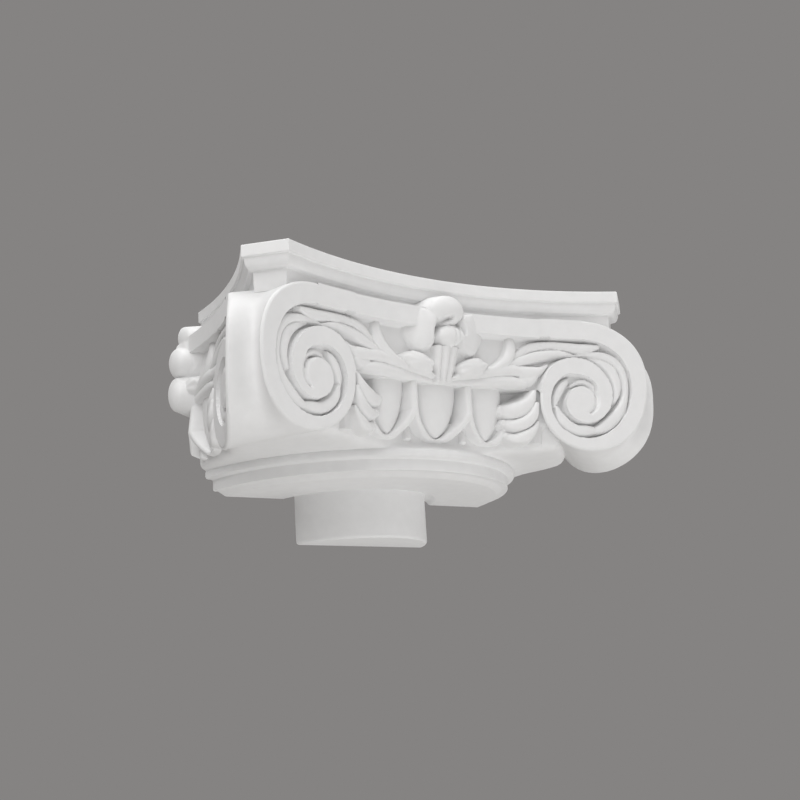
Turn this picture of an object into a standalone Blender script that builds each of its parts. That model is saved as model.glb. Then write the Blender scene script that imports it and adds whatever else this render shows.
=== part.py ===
# Half column capital, cast in one piece and cut off flat at the wall.
# Metres, +Z up. The wall plane is y = 0 and the front faces -Y. The column's axis is at x = 0, a
# little behind the wall. z = 0 is the underside of the neck, which sits on the column's shaft.
import math

import bmesh
import bpy

MM = 0.001

# Spigot that drops into the shaft, and the shallow groove round it. The axis of all turned
# members is this far behind the wall.
AXIS_BEHIND = 14
SPIGOT_RADIUS = 62.5
SPIGOT_LENGTH = 37
SPIGOT_EDGE = 2.5
GROOVE_RADIUS = 72
GROOVE_DEPTH = 4

# Neck mouldings: radius and height of each turned member
SHOULDER_RADIUS = 122.3
CHAMFER_RADIUS = 128.8
CHAMFER_HEIGHT = 3.8
STEP_RADIUS = 133.2
STEP_HEIGHT = 12
RING_RADIUS = 139.5
RING_LOW = 13
RING_HIGH = 19.5
CORE_RADIUS = 112
CORE_TOP = 119
TURN_STEPS = 56

# Abacus: the concave slab on top, with its corners cut off
ABACUS_HALF = 175
ABACUS_CORNER = 24.8
ABACUS_SAG = 33.4
ABACUS_TOP = 150
FILLET_HEIGHT = 9.5
GROOVE_INSET = 2.2
COVE_INSET = 8.5
COVE_BOTTOM = 129.5
NECK_INSET = 12

# Carved faces below the abacus, concave in plan. The front leans out towards its top, and a side
# face leans in a little and flares out towards its volute.
FRONT_MIDDLE = 139.5
FRONT_ARC = 450
SIDE_MIDDLE = 158.5
SIDE_FLARE = 37
SIDE_END = 162
SIDE_POWER = 2.7
LEAN = 0.09
SIDE_LEAN = -0.044
LEAN_HEIGHT = 62
BAND_TOP = 121.5
BAND_BOTTOM = 108
CANALIS_BOTTOM = 76
CANALIS_DEPTH = 5
INNER_FACE = 40
BAND_REACH = 130

# Volutes: centre of the spiral, and its radii at each eighth or quarter of a turn from the top
VOLUTE_X = 121
VOLUTE_Z = 66
RIM_RADII = (55.5, 58.7, 52.3, 50.8, 45.5, 41, 36.3)
CHANNEL_OUTER = (42, 39, 34.7, 27.3, 15.5, 13.4)
CHANNEL_INNER = (28.5, 24.4, 22.5, 11.5, 8, 12.6)
CHANNEL_START = -9
CHANNEL_TURN = 455
CHANNEL_DEPTH = 5.5
CORNER_HOLLOW = 4
RIM_STEPS = 36
CORNER_RINGS = 3

# Bell between the neck's ring and the echinus: from the ring's circle to a rounded square
BELL_FRONT = 119.5
BELL_SIDE = 141
BELL_POWER = 4
BELL_TOP = 31

# Echinus with its eggs, behind the front face
ECHINUS_BACK = 20
ECHINUS_TAPER = 6
ECHINUS_TOP = 78
ECHINUS_BOTTOM = 24
ECHINUS_HALF = 84
SIDE_FORWARD = 3
EGG_SPACING = 42.5
EGG_HALF = 15.5
EGG_TOP = 84
EGG_BOTTOM = 31
EGG_FRONT = 10.5
EGG_THICK = 11
SHELL_HALF = 19.2
SHELL_TIP = 27.5
SHELL_RADIUS = 3.4
SHELL_FRONT = 10

# Leaves, flower and tendrils
FINGER_TIPS = (64, 49, 38)
FINGER_ROOT = 56
FINGER_REACH = 80
FINGER_BACK = 11
CALYX_REACH = 74
TENDRIL_TIP = 59
TENDRIL_TOP = 110
STRAND_RADIUS = 4.2
PETAL_THICK = 4
BULB_RADIUS = 9.5
BULB_HEIGHT = 109
STEM_RADIUS = 5
STEM_BOTTOM = 76

# What grows from the flower towards a volute. A side face, seen edge on, has the first three.
SPRAYS = ("calyx", "tendril", "leaf_high", "leaf_low", "calyx_upper")

WALL_SPARE = 8


def clear_scene():
    for old in list(bpy.data.objects):
        bpy.data.objects.remove(old, do_unlink=True)


def new_collection(name, shown):
    group = bpy.data.collections.new(name)
    bpy.context.scene.collection.children.link(group)
    group.hide_render = not shown
    return group


def add_object(name, mesh, group):
    made = bpy.data.objects.new(name, mesh)
    group.objects.link(made)
    if group.hide_render:
        made.hide_render = True
        made.display_type = "WIRE"
    return made


def finish_mesh(name, bm, group):
    """Faces outward, sizes in metres, one mesh object in the group."""
    bmesh.ops.recalc_face_normals(bm, faces=bm.faces)
    if bm.calc_volume(signed=True) < 0:
        bmesh.ops.reverse_faces(bm, faces=bm.faces)
    bmesh.ops.scale(bm, vec=(MM, MM, MM), verts=bm.verts)
    mesh = bpy.data.meshes.new(name)
    bm.to_mesh(mesh)
    bm.free()
    return add_object(name, mesh, group)


def block(name, across, up, place, group):
    """A thick sheet: a grid of across by up cells, extruded once, each corner put by place(u, v, w)."""
    bm = bmesh.new()
    bmesh.ops.create_grid(bm, x_segments=across, y_segments=up, size=0.5)
    raised = bmesh.ops.extrude_face_region(bm, geom=bm.faces[:])["geom"]
    corners = [item for item in raised if isinstance(item, bmesh.types.BMVert)]
    bmesh.ops.translate(bm, vec=(0, 0, 1), verts=corners)
    for corner in bm.verts:
        corner.co = place(corner.co.x + 0.5, corner.co.y + 0.5, round(corner.co.z))
    return finish_mesh(name, bm, group)


def bolster(name, around, along, place, group):
    """A closed drum of around by along cells, each corner put by place(turn, length, distance)."""
    bm = bmesh.new()
    sizes = {"radius1": 1, "radius2": 1, "depth": 1}
    bmesh.ops.create_cone(bm, cap_ends=True, cap_tris=True, segments=around, **sizes)
    sides = [edge for edge in bm.edges if abs(edge.verts[0].co.z - edge.verts[1].co.z) > 0.5]
    bmesh.ops.subdivide_edges(bm, edges=sides, cuts=along - 1, use_grid_fill=True)
    for corner in bm.verts:
        turn = math.atan2(corner.co.x, corner.co.y) % math.tau
        distance = math.hypot(corner.co.x, corner.co.y)
        corner.co = place(turn, corner.co.z + 0.5, distance)
    return finish_mesh(name, bm, group)


def ball(name, centre, sizes, place, group):
    """An egg-shaped solid in a face's own coordinates: along, height, outward."""
    bm = bmesh.new()
    bmesh.ops.create_uvsphere(bm, u_segments=10, v_segments=6, radius=1)
    for corner in bm.verts:
        x, z, out = corner.co.x, corner.co.z, -corner.co.y
        corner.co = place(centre[0] + sizes[0] * x, centre[1] + sizes[1] * z, centre[2] + sizes[2] * out)
    return finish_mesh(name, bm, group)


def strand(name, points, radii, place, group):
    """A tapering round ridge along points in a face's own coordinates."""
    curve = bpy.data.curves.new(name, "CURVE")
    curve.dimensions = "3D"
    curve.bevel_depth = 1
    curve.bevel_resolution = 0
    curve.use_fill_caps = True
    line = curve.splines.new("POLY")
    line.points.add(len(points) - 1)
    for spot, point, radius in zip(line.points, points, radii):
        spot.co = (*place(*point), 1)
        spot.radius = radius
    made = bpy.data.objects.new(name, curve)
    bpy.context.scene.collection.objects.link(made)
    bpy.context.view_layer.update()
    graph = bpy.context.evaluated_depsgraph_get()
    mesh = bpy.data.meshes.new_from_object(made.evaluated_get(graph))
    bpy.data.objects.remove(made, do_unlink=True)
    bm = bmesh.new()
    bm.from_mesh(mesh)
    bmesh.ops.remove_doubles(bm, verts=bm.verts, dist=0.001)
    bpy.data.meshes.remove(mesh)
    return finish_mesh(name, bm, group)


def mix(low, high, share):
    return low + (high - low) * share


def smooth_step(values, spot):
    """Value at a fractional index, on a smooth curve through the values."""
    last = len(values) - 1
    index = min(int(max(spot, 0)), last - 1)
    share = min(max(spot - index, 0), 1)
    before = values[max(index - 1, 0)]
    after = values[min(index + 2, last)]
    first, second = values[index], values[index + 1]
    slope_in = (second - before) / 2
    slope_out = (after - first) / 2
    cube, square = share**3, share**2
    return (
        (2 * cube - 3 * square + 1) * first
        + (cube - 2 * square + share) * slope_in
        + (3 * square - 2 * cube) * second
        + (cube - square) * slope_out
    )


def front_hollow(x):
    return FRONT_ARC - math.sqrt(FRONT_ARC**2 - x * x)


def side_flare(forward):
    return SIDE_FLARE * abs(forward / SIDE_END) ** SIDE_POWER


def on_front(along, height, out):
    """Point on the front face: along is x, out is the distance in front of the face."""
    slope = along / math.sqrt(FRONT_ARC**2 - along**2)
    size = math.hypot(1, slope)
    lean = LEAN * (height - LEAN_HEIGHT)
    return (
        along - out * slope / size,
        -(FRONT_MIDDLE + front_hollow(along)) - lean - out / size,
        height,
    )


def on_side(hand):
    """Points on the side face of this hand, -1 for left: along runs forward from the axis."""

    def place(along, height, out):
        forward = along - AXIS_BEHIND
        steep = SIDE_POWER * SIDE_FLARE / SIDE_END * abs(forward / SIDE_END) ** (SIDE_POWER - 1)
        slope = math.copysign(steep, forward)
        size = math.hypot(1, slope)
        lean = SIDE_LEAN * (height - LEAN_HEIGHT)
        reach = SIDE_MIDDLE + side_flare(forward) + lean + out / size
        return (hand * reach, -forward + out * slope / size, height)

    return place


def mirrored(place, hand):
    """The same face, with along counted to the left when hand is -1."""
    return lambda along, height, out: place(hand * along, height, out)


def rim_radius(turn):
    """Radius of a volute's outer edge, from the top and round by the corner."""
    eighth = turn / (math.pi / 4)
    if eighth <= 6:
        return smooth_step(RIM_RADII, eighth)
    inward = RIM_RADII[-1] / max(abs(math.sin(turn)), 1e-6)
    upward = RIM_RADII[0] / max(math.cos(turn), 1e-6)
    return min(inward, upward)


def polar(turn, radius):
    return VOLUTE_X + radius * math.sin(turn), VOLUTE_Z + radius * math.cos(turn)


def make_neck(group):
    """Spigot, neck mouldings and the core inside the carving, turned from one profile."""
    profile = (
        (0, CORE_TOP),
        (CORE_RADIUS, CORE_TOP),
        (CORE_RADIUS, RING_HIGH + 2),
        (RING_RADIUS - 1.5, RING_HIGH - 2),
        (RING_RADIUS, RING_LOW + 2),
        (RING_RADIUS - 1.2, RING_LOW),
        (STEP_RADIUS, STEP_HEIGHT),
        (STEP_RADIUS, CHAMFER_HEIGHT),
        (CHAMFER_RADIUS, CHAMFER_HEIGHT),
        (SHOULDER_RADIUS, 0),
        (GROOVE_RADIUS, 0),
        (mix(GROOVE_RADIUS, SPIGOT_RADIUS, 0.3), GROOVE_DEPTH * 0.7),
        (SPIGOT_RADIUS, GROOVE_DEPTH),
        (SPIGOT_RADIUS, SPIGOT_EDGE - SPIGOT_LENGTH),
        (SPIGOT_RADIUS - SPIGOT_EDGE, -SPIGOT_LENGTH),
        (0, -SPIGOT_LENGTH),
    )
    bm = bmesh.new()
    spots = [(radius * MM, AXIS_BEHIND * MM, height * MM) for radius, height in profile]
    corners = [bm.verts.new(spot) for spot in spots]
    for first, second in zip(corners, corners[1:]):
        bm.edges.new((first, second))
    mesh = bpy.data.meshes.new("neck")
    bm.to_mesh(mesh)
    bm.free()
    neck = add_object("neck", mesh, group)
    axis = bpy.data.objects.new("column_axis", None)
    axis.location = (0, AXIS_BEHIND * MM, 0)
    group.objects.link(axis)
    turn = neck.modifiers.new("turn", "SCREW")
    turn.object = axis
    turn.axis = "Z"
    turn.steps = TURN_STEPS
    turn.render_steps = TURN_STEPS
    turn.use_merge_vertices = True
    turn.merge_threshold = 0.0001
    return neck


def loft_rings(name, rings, group):
    """A solid through closed outlines, given from the top down as lists of points."""
    bm = bmesh.new()
    loops = []
    for points in rings:
        ring = [bm.verts.new(point) for point in points]
        loops.append([bm.edges.new((ring[i - 1], ring[i])) for i in range(len(ring))])
    for upper, lower in zip(loops, loops[1:]):
        bmesh.ops.bridge_loops(bm, edges=upper + lower)
    for edges in (loops[0], loops[-1]):
        bmesh.ops.contextual_create(bm, geom=edges)
    return finish_mesh(name, bm, group)


def make_bell(group):
    """Flare from the round neck out to the squarer echinus, cut at the wall later."""

    def spot(turn, share, height):
        across, ahead = abs(math.cos(turn)), abs(math.sin(turn))
        front = (ahead / (BELL_FRONT + AXIS_BEHIND)) ** BELL_POWER
        side = (across / BELL_SIDE) ** BELL_POWER
        radius = mix(RING_RADIUS, (front + side) ** (-1 / BELL_POWER), share)
        return radius * math.cos(turn), AXIS_BEHIND + radius * math.sin(turn), height

    rise = BELL_TOP - RING_HIGH
    levels = (
        (BELL_TOP + 8, 1),
        (BELL_TOP, 1),
        (RING_HIGH + 0.62 * rise, 0.75),
        (RING_HIGH + 0.3 * rise, 0.3),
        (RING_HIGH, 0),
        (RING_LOW + 2.2, 0),
    )
    turns = [math.tau * (step + 0.5) / TURN_STEPS for step in range(TURN_STEPS)]
    rings = [[spot(turn, share, height) for turn in turns] for height, share in levels]
    return loft_rings("bell", rings, group)


def abacus_outline(inset):
    """Plan of the abacus, set in by this much all round, open towards the wall."""
    reach = ABACUS_HALF - ABACUS_CORNER
    radius = (reach**2 + ABACUS_SAG**2) / (2 * ABACUS_SAG)
    middle = ABACUS_HALF - ABACUS_SAG - inset

    def curve(x):
        return middle + radius - math.sqrt(radius**2 - x * x)

    low, high = reach - 3 * inset, reach + 3 * inset
    cut = 2 * ABACUS_HALF - ABACUS_CORNER - inset * math.sqrt(2)
    for _ in range(40):
        end = (low + high) / 2
        low, high = (end, high) if end + curve(end) < cut else (low, end)
    front = [mix(-end, end, step / 20) for step in range(21)]
    side = [mix(end, -WALL_SPARE, step / 9) for step in range(10)]
    right = [(curve(y), -y) for y in side]
    return [(-x, y) for x, y in reversed(right)] + [(x, -curve(x)) for x in front] + right


def make_abacus(group):
    """The abacus as a stack of outlines: fillet, groove, cove and the plain neck under it."""
    fillet = ABACUS_TOP - FILLET_HEIGHT
    levels = (
        (ABACUS_TOP, 0),
        (fillet, 0),
        (fillet - 0.8, GROOVE_INSET),
        (mix(fillet, COVE_BOTTOM, 0.35), GROOVE_INSET + 0.8),
        (mix(fillet, COVE_BOTTOM, 0.7), mix(GROOVE_INSET, COVE_INSET, 0.5)),
        (COVE_BOTTOM, COVE_INSET),
        (COVE_BOTTOM, NECK_INSET),
        (CORE_TOP - 2, NECK_INSET),
    )
    rings = [[(x, y, height) for x, y in abacus_outline(inset)] for height, inset in levels]
    return loft_rings("abacus", rings, group)


def make_band(name, place, low, high, group):
    """Plain band and the sunk canalis under it, from the face back into the core."""

    def spot(u, v, w):
        along = mix(low, high, u)
        height = mix(CANALIS_BOTTOM, BAND_TOP, v)
        x, y, z = place(along, height, 0)
        if w < 0.5:
            return x, y, z
        deep = place(along, height, 0)
        if place is on_front:
            return deep[0], -INNER_FACE, z
        return math.copysign(INNER_FACE, x), deep[1], z

    return block(name, 16, 1, spot, group)


def make_volute(name, hand, group):
    """Bolster from the front spiral to the side spiral, hollow along the corner."""
    side = on_side(hand)
    front = mirrored(on_front, hand)

    def spot(turn, length, distance):
        along, height = polar(turn, rim_radius(turn) * distance)
        first = front(along, height, 0)
        second = side(along, height, 0)
        hollow = CORNER_HOLLOW * math.sin(math.pi * length) * max(math.sin(turn), 0) * distance
        x = mix(first[0], second[0], length) - hand * hollow
        y = mix(first[1], second[1], length) + hollow
        return x, y, height

    return bolster(name, RIM_STEPS, CORNER_RINGS, spot, group)


def cut_channel(name, place, group):
    """The spiral channel of one volute, as a cutter."""

    def spot(u, v, w):
        turn = mix(CHANNEL_START, CHANNEL_TURN, u)
        inner = smooth_step(CHANNEL_INNER, turn / 90)
        outer = smooth_step(CHANNEL_OUTER, turn / 90)
        along, height = polar(math.radians(turn), mix(inner, outer, v))
        return place(along, height, 9 - w * (9 + CHANNEL_DEPTH))

    return block(name, 30, 1, spot, group)


def cut_canalis(name, place, low, high, group):
    """The sunk field between two volutes, as a cutter."""

    def floor(along):
        share = (abs(along) - VOLUTE_X) / RIM_RADII[-1]
        rise = math.sqrt(max(1 - share * share, 0))
        return mix(CANALIS_BOTTOM - 6, VOLUTE_Z + CHANNEL_INNER[0] + 0.8, rise)

    def spot(u, v, w):
        along = mix(low, high, u)
        return place(along, mix(floor(along), BAND_BOTTOM, v), 9 - w * (9 + CANALIS_DEPTH))

    return block(name, 14, 1, spot, group)


def make_echinus(name, place, low, high, forward, group):
    """The plain round behind the eggs, from its face back into the core."""

    def spot(u, v, w):
        along = mix(low, high, u)
        height = mix(ECHINUS_BOTTOM, ECHINUS_TOP, v)
        outward = min(max((abs(along) - EGG_SPACING) / (FINGER_REACH - EGG_SPACING), 0), 1)
        back = mix(ECHINUS_BACK, FINGER_BACK, outward) + ECHINUS_TAPER * (1 - v) ** 2
        x, y, z = place(along, height, forward - back)
        if w < 0.5:
            return x, y, z
        if place is on_front:
            return x, -INNER_FACE, z
        return math.copysign(INNER_FACE, x), y, z

    return block(name, 10, 2, spot, group)


def make_egg(name, place, centre, forward, group):
    """One egg and the shell that curves round it to a point below."""
    middle = (EGG_TOP + EGG_BOTTOM) / 2
    sizes = (EGG_HALF, (EGG_TOP - EGG_BOTTOM) / 2, EGG_THICK)
    ball(name, (centre, middle, forward - EGG_FRONT - EGG_THICK), sizes, place, group)
    points = []
    radii = []
    count = 10
    for step in range(count + 1):
        share = step / count
        turn = mix(-1, 1, share)
        height = mix(SHELL_TIP, EGG_TOP - 4, abs(turn) ** 1.15)
        width = SHELL_HALF * math.sin(min(abs(turn) * 1.25, 1) * math.pi / 2)
        drop = 8 * (1 - abs(turn)) ** 2
        points.append((centre + math.copysign(width, turn), height, forward - SHELL_FRONT - 3 - drop))
        radii.append(SHELL_RADIUS)
    return strand(name + "_shell", points, radii, place, group)


def arc_points(points, count):
    """Points on a smooth curve through the given ones, with their radii."""
    columns = list(zip(*points))
    spots = [step * (len(points) - 1) / count for step in range(count + 1)]
    smooth = [[smooth_step(column, spot) for column in columns] for spot in spots]
    return [tuple(row[:3]) for row in smooth], [max(row[3], 0.3) for row in smooth]


def make_fingers(name, place, forward, group):
    """The half leaf beside a volute: lobes that curl out and up, one above the other."""
    for index, tip in enumerate(FINGER_TIPS):
        back = forward - 8 - 2.5 * index
        knots = (
            (FINGER_ROOT, tip - 15, back - 4, 3),
            (mix(FINGER_ROOT, FINGER_REACH, 0.45), tip - 11, back, 5.6),
            (mix(FINGER_ROOT, FINGER_REACH, 0.85), tip - 3, back + 1, 5),
            (FINGER_REACH, tip + 4, back - 2, 1),
        )
        points, radii = arc_points(knots, 5)
        strand(f"{name}_{index}", points, radii, place, group)


def make_sprays(name, place, labels, group):
    """Calyx leaf, curled tendril and the two leaf strands that run into a volute."""
    sprays = {
        "calyx": (
            (2, 77, 0, 5),
            (24, 79, 1, 6.4),
            (50, 81, 2, 6.8),
            (CALYX_REACH - 6, 80, 1, 5),
            (CALYX_REACH + 4, 75, -2, 1.5),
        ),
        "calyx_upper": ((34, 80, -2, 2), (50, 87, -1, 3), (64, 87, -2, 2.6), (76, 84, -4, 1)),
        "tendril": (
            (34, 83, -1, 3),
            (50, 88, 0, 4.4),
            (60, 97, 1, 4.8),
            (TENDRIL_TIP + 2, 105, 1, 4.6),
            (TENDRIL_TIP - 2, TENDRIL_TOP, 0, 3.6),
        ),
        "leaf_low": (
            (60, 86, -4, 2),
            (74, 93, -3, STRAND_RADIUS),
            (92, 98, -2, STRAND_RADIUS),
            (112, 98, -3, 3.4),
            (130, 92.5, -4, 3.4),
            (147, 74, -4, 3.2),
            (148, 56, -5.5, 1),
        ),
        "leaf_high": (
            (72, 96, -4, 1.5),
            (96, 104, -3, 3.6),
            (130, 103, -3.6, 3.2),
            (151, 84, -4, 3.2),
            (153, 55, -4, 3.6),
            (136, 36, -4, 4),
            (110, 38, -4, 3.8),
            (98, 60, -5, 1),
        ),
    }
    for label in labels:
        knots = sprays[label]
        points, radii = arc_points(knots, len(knots) - 1 + len(knots) // 6)
        strand(f"{name}_{label}", points, radii, place, group)


def make_petal(name, place, middle, tilt, length, width, rise, curl, group):
    """One petal: a cupped sheet from the flower's heart out to a curled tip."""
    start_x, start_z, start_out = middle
    lean = math.radians(tilt)

    def spot(u, v, w):
        across = (u - 0.5) * 2
        reach = length * v
        half = width * (0.35 + 0.65 * math.sin(math.pi * min(v * 0.8 + 0.12, 1)))
        cup = 3 * across * across
        out = start_out + rise * math.sin(math.pi / 2 * v) + cup - curl * max(v - 0.7, 0) ** 2 * 10
        x = across * half * math.cos(lean) + reach * math.sin(lean)
        z = reach * math.cos(lean) - across * half * math.sin(lean)
        return place(start_x + x, start_z + z, out - w * PETAL_THICK)

    return block(name, 3, 4, spot, group)


def make_flower(name, place, group):
    """Open flower on the middle of a face: five petals, a fluted stem and its bulb."""
    make_petal(name + "_hood", place, (0, 104, 1), 0, 26, 17, 9, 0.6, group)
    for hand, label in ((-1, "left"), (1, "right")):
        make_petal(f"{name}_{label}", place, (hand * 6, 92, 0), hand * 52, 34, 15, 8, 0.5, group)
        make_petal(f"{name}_{label}_low", place, (hand * 8, 82, -2), hand * 84, 27, 7, 6, 0.5, group)
    ball(name + "_bulb", (0, BULB_HEIGHT, 1), (BULB_RADIUS, BULB_RADIUS, BULB_RADIUS), place, group)
    for index in (-1, 0, 1):
        top = (index * 4.5, 101, 4, STEM_RADIUS * 0.8)
        low = (index * 6.5, STEM_BOTTOM, 0, STEM_RADIUS)
        points, radii = arc_points((top, low), 1)
        strand(f"{name}_stem_{index + 1}", points, radii, place, group)


def make_face(name, place, hands, forward, low, solids, carving, cutters):
    """Everything carved on one face. hands says which volutes it reaches."""
    high = BAND_REACH
    make_band(name + "_band", place, low, high, solids)
    reach = -ECHINUS_HALF if len(hands) == 2 else low
    make_echinus(name + "_echinus", place, reach, ECHINUS_HALF, forward, solids)
    end = VOLUTE_X - 0.5
    cut_canalis(name + "_canalis", place, -end if len(hands) == 2 else low, end, cutters)
    eggs = (-1, 0, 1) if len(hands) == 2 else (0, 1)
    for index in eggs:
        make_egg(f"{name}_egg_{index + 1}", place, index * EGG_SPACING, forward, carving)
    for hand in hands:
        own = mirrored(place, hand)
        tag = "left" if hand < 0 else "right"
        cut_channel(f"{name}_channel_{tag}", own, cutters)
        make_fingers(f"{name}_fingers_{tag}", own, forward, carving)
        make_sprays(f"{name}_sprays_{tag}", own, SPRAYS[: 5 if len(hands) == 2 else 3], carving)
    make_flower(name + "_flower", place, carving)


def add_boolean(body, label, operation, group, solver="EXACT"):
    cut = body.modifiers.new(label, "BOOLEAN")
    cut.operation = operation
    cut.operand_type = "COLLECTION"
    cut.collection = group
    cut.solver = solver
    return cut


def make_plaster():
    """White moulded finish of the whole piece."""
    finish = bpy.data.materials.new("white_moulding")
    finish.use_nodes = True
    shader = finish.node_tree.nodes["Principled BSDF"]
    shader.inputs["Base Color"].default_value = (0.83, 0.83, 0.82, 1)
    shader.inputs["Roughness"].default_value = 0.5
    shader.inputs["Metallic"].default_value = 0
    return finish


def main():
    clear_scene()
    shown = new_collection("half_column_capital", True)
    solids = new_collection("solids", False)
    carving = new_collection("carving", False)
    cutters = new_collection("cutters", False)
    wall = new_collection("wall", False)

    make_abacus(solids)
    make_bell(solids)
    for hand, tag in ((-1, "left"), (1, "right")):
        make_volute("volute_" + tag, hand, solids)
    make_face("front", on_front, (-1, 1), 0, -BAND_REACH, solids, carving, cutters)
    for hand, tag in ((-1, "left"), (1, "right")):
        place = on_side(hand)
        make_face("side_" + tag, place, (1,), SIDE_FORWARD, -WALL_SPARE, solids, carving, cutters)

    bm = bmesh.new()
    bmesh.ops.create_cube(bm, size=1)
    bmesh.ops.scale(bm, vec=(600, 200, 400), verts=bm.verts)
    bmesh.ops.translate(bm, vec=(0, 100, 50), verts=bm.verts)
    finish_mesh("wall_side", bm, wall)

    capital = make_neck(shown)
    capital.name = "capital"
    add_boolean(capital, "join_solids", "UNION", solids)
    add_boolean(capital, "cut_channels", "DIFFERENCE", cutters)
    # The leaf strands cross one another many times, which only the manifold solver closes
    add_boolean(capital, "join_carving", "UNION", carving, "MANIFOLD")
    add_boolean(capital, "cut_at_wall", "DIFFERENCE", wall, "MANIFOLD")
    capital.data.materials.append(make_plaster())


main()
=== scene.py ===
import bmesh
import bpy
import math
import numpy as np
from mathutils import Matrix, Vector


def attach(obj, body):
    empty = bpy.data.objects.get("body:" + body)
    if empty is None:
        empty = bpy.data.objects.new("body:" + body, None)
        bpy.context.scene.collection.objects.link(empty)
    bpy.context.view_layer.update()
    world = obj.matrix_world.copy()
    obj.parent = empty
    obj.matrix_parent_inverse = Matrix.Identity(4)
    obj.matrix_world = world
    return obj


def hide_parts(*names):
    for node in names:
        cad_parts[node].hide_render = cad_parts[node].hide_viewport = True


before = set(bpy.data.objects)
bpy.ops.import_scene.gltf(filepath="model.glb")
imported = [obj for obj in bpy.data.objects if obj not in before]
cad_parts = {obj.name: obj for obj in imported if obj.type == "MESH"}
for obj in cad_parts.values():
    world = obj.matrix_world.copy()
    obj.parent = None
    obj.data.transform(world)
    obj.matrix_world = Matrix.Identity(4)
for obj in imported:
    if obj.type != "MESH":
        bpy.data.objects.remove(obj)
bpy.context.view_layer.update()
mm = 0.001

# The axis of the turned members lies this far behind the wall, in millimetres as everywhere below
axisBehind = 14

# Gaps between the wall plane and the backs of the pieces, so that no two of them share a plane
wallGap = {"core": 0, "abacus": 0.1, "neck": 0.15, "bell": 0.2, "frieze": 0.25, "echinus": 0.35}

# Shape of the carved faces, concave in plan
face = {
    "frontMiddle": 139.5,    # from the wall to the middle of the front
    "frontArc": 450,         # radius of the front in plan
    "sideMiddle": 158.5,     # from the capital's middle to a side face, at the wall
    "sideFlare": 37,         # how far a side face swings out at its front end
    "sideEnd": 162,          # how far ahead of the wall that end lies
    "sidePower": 2.7,        # how late the swing begins
    "lean": 0.09,            # how much the front comes out per millimetre of height
    "sideLean": -0.044,      # the same for a side face
    "leanHeight": 62,        # height at which the sizes above hold
    "innerFront": 90,        # where the backs of the carved slabs lie
    "innerSide": 105,
    "bandTop": 125.5,
    "bandBottom": 109.5,
    "bandEdge": (0.7, 0.1),  # its top edge rounds over from so far below bandTop to so far above
    "behindBand": -18.0,     # how far back the slab goes above the band
}


def smoothValue(values, spots):
    # smooth curve through evenly spaced values
    values = np.asarray(values, float)
    last = len(values) - 1
    spots = np.clip(spots, 0, last)
    index = np.minimum(spots.astype(int), last - 1)
    share = spots - index
    first, second = values[index], values[index + 1]
    slopeIn = (second - values[np.maximum(index - 1, 0)]) / 2
    slopeOut = (values[np.minimum(index + 2, last)] - first) / 2
    return (
        (2 * share**3 - 3 * share**2 + 1) * first
        + (share**3 - 2 * share**2 + share) * slopeIn
        + (3 * share**2 - 2 * share**3) * second
        + (share**3 - share**2) * slopeOut
    )


def ramp(value, low, high):
    share = np.clip((value - low) / (high - low), 0, 1)
    return share * share * (3 - 2 * share)


def softMax(first, second, blend):
    share = np.clip(0.5 + 0.5 * (first - second) / blend, 0, 1)
    return second + (first - second) * share + blend * share * (1 - share)


def frontPoints(hand, along, height, out):
    # along is measured from the middle of the front
    slope = along / np.sqrt(face["frontArc"] ** 2 - along**2)
    size = np.hypot(1, slope)
    hollow = face["frontArc"] - np.sqrt(face["frontArc"] ** 2 - along**2)
    lean = face["lean"] * (height - face["leanHeight"])
    across = along - out * slope / size
    depth = -(face["frontMiddle"] + hollow) - lean - out / size
    return np.stack([hand * across, depth, height], axis=-1)


def sidePoints(hand, along, height, out):
    # along is measured forward from the column's axis
    forward = along - axisBehind
    share = np.abs(forward) / face["sideEnd"]
    flare = face["sideFlare"] * share ** face["sidePower"]
    slope = face["sidePower"] * face["sideFlare"] / face["sideEnd"] * share ** (face["sidePower"] - 1)
    size = np.hypot(1, slope)
    lean = face["sideLean"] * (height - face["leanHeight"])
    reach = face["sideMiddle"] + flare + lean + out / size
    depth = np.where(forward > 0, out * slope / size - forward, -forward)
    return np.stack([hand * reach, depth, height + 0 * reach], axis=-1)


# How all carving is laid on. A layer's crown is how far a strand's edge lies below its middle, as a share
# of its half width, and its blend is the width over which it meets what lies under it.
carving = {
    "linePieces": 7,      # straight pieces between two points of a line
    "spare": 5,           # how far beside a line its slope still counts
    "ridgeFall": 3.5,     # steepness of the slope beside a strand
    "blobFall": 3.2,      # the same beside a rounded form
    "blobReach": 1.6,     # how far out a rounded form's slope counts, as a share of its half width
    "petalLobes": 5,      # lobes round a ruffled edge
    "petalEdge": 0.05,    # how far they stand out
    "petalWaves": 7,      # waves in a ruffled petal
}


def overLine(along, height, knots):
    # places near a line, with their distance to it and its out and half width at the nearest place
    spots = np.linspace(0, len(knots) - 1, carving["linePieces"] * (len(knots) - 1) + 1)
    line = np.stack([smoothValue(column, spots) for column in zip(*knots)], axis=-1)
    spare = line[:, 3].max() + carving["spare"]
    low, high = line.min(axis=0) - spare, line.max(axis=0) + spare
    picked = (along > low[0]) & (along < high[0]) & (height > low[1]) & (height < high[1])
    along, height = along[picked], height[picked]
    gap = np.full(along.shape, 1e9)
    out = np.zeros(along.shape)
    wide = np.ones(along.shape)
    for first, second in zip(line, line[1:]):
        step = second - first
        size = max(step[0] ** 2 + step[1] ** 2, 1e-9)
        share = np.clip(((along - first[0]) * step[0] + (height - first[1]) * step[1]) / size, 0, 1)
        here = np.hypot(along - first[0] - share * step[0], height - first[1] - share * step[1])
        closer = here < gap
        gap = np.where(closer, here, gap)
        out = np.where(closer, first[2] + share * step[2], out)
        wide = np.where(closer, first[3] + share * step[3], wide)
    return picked, gap, out, wide


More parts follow.
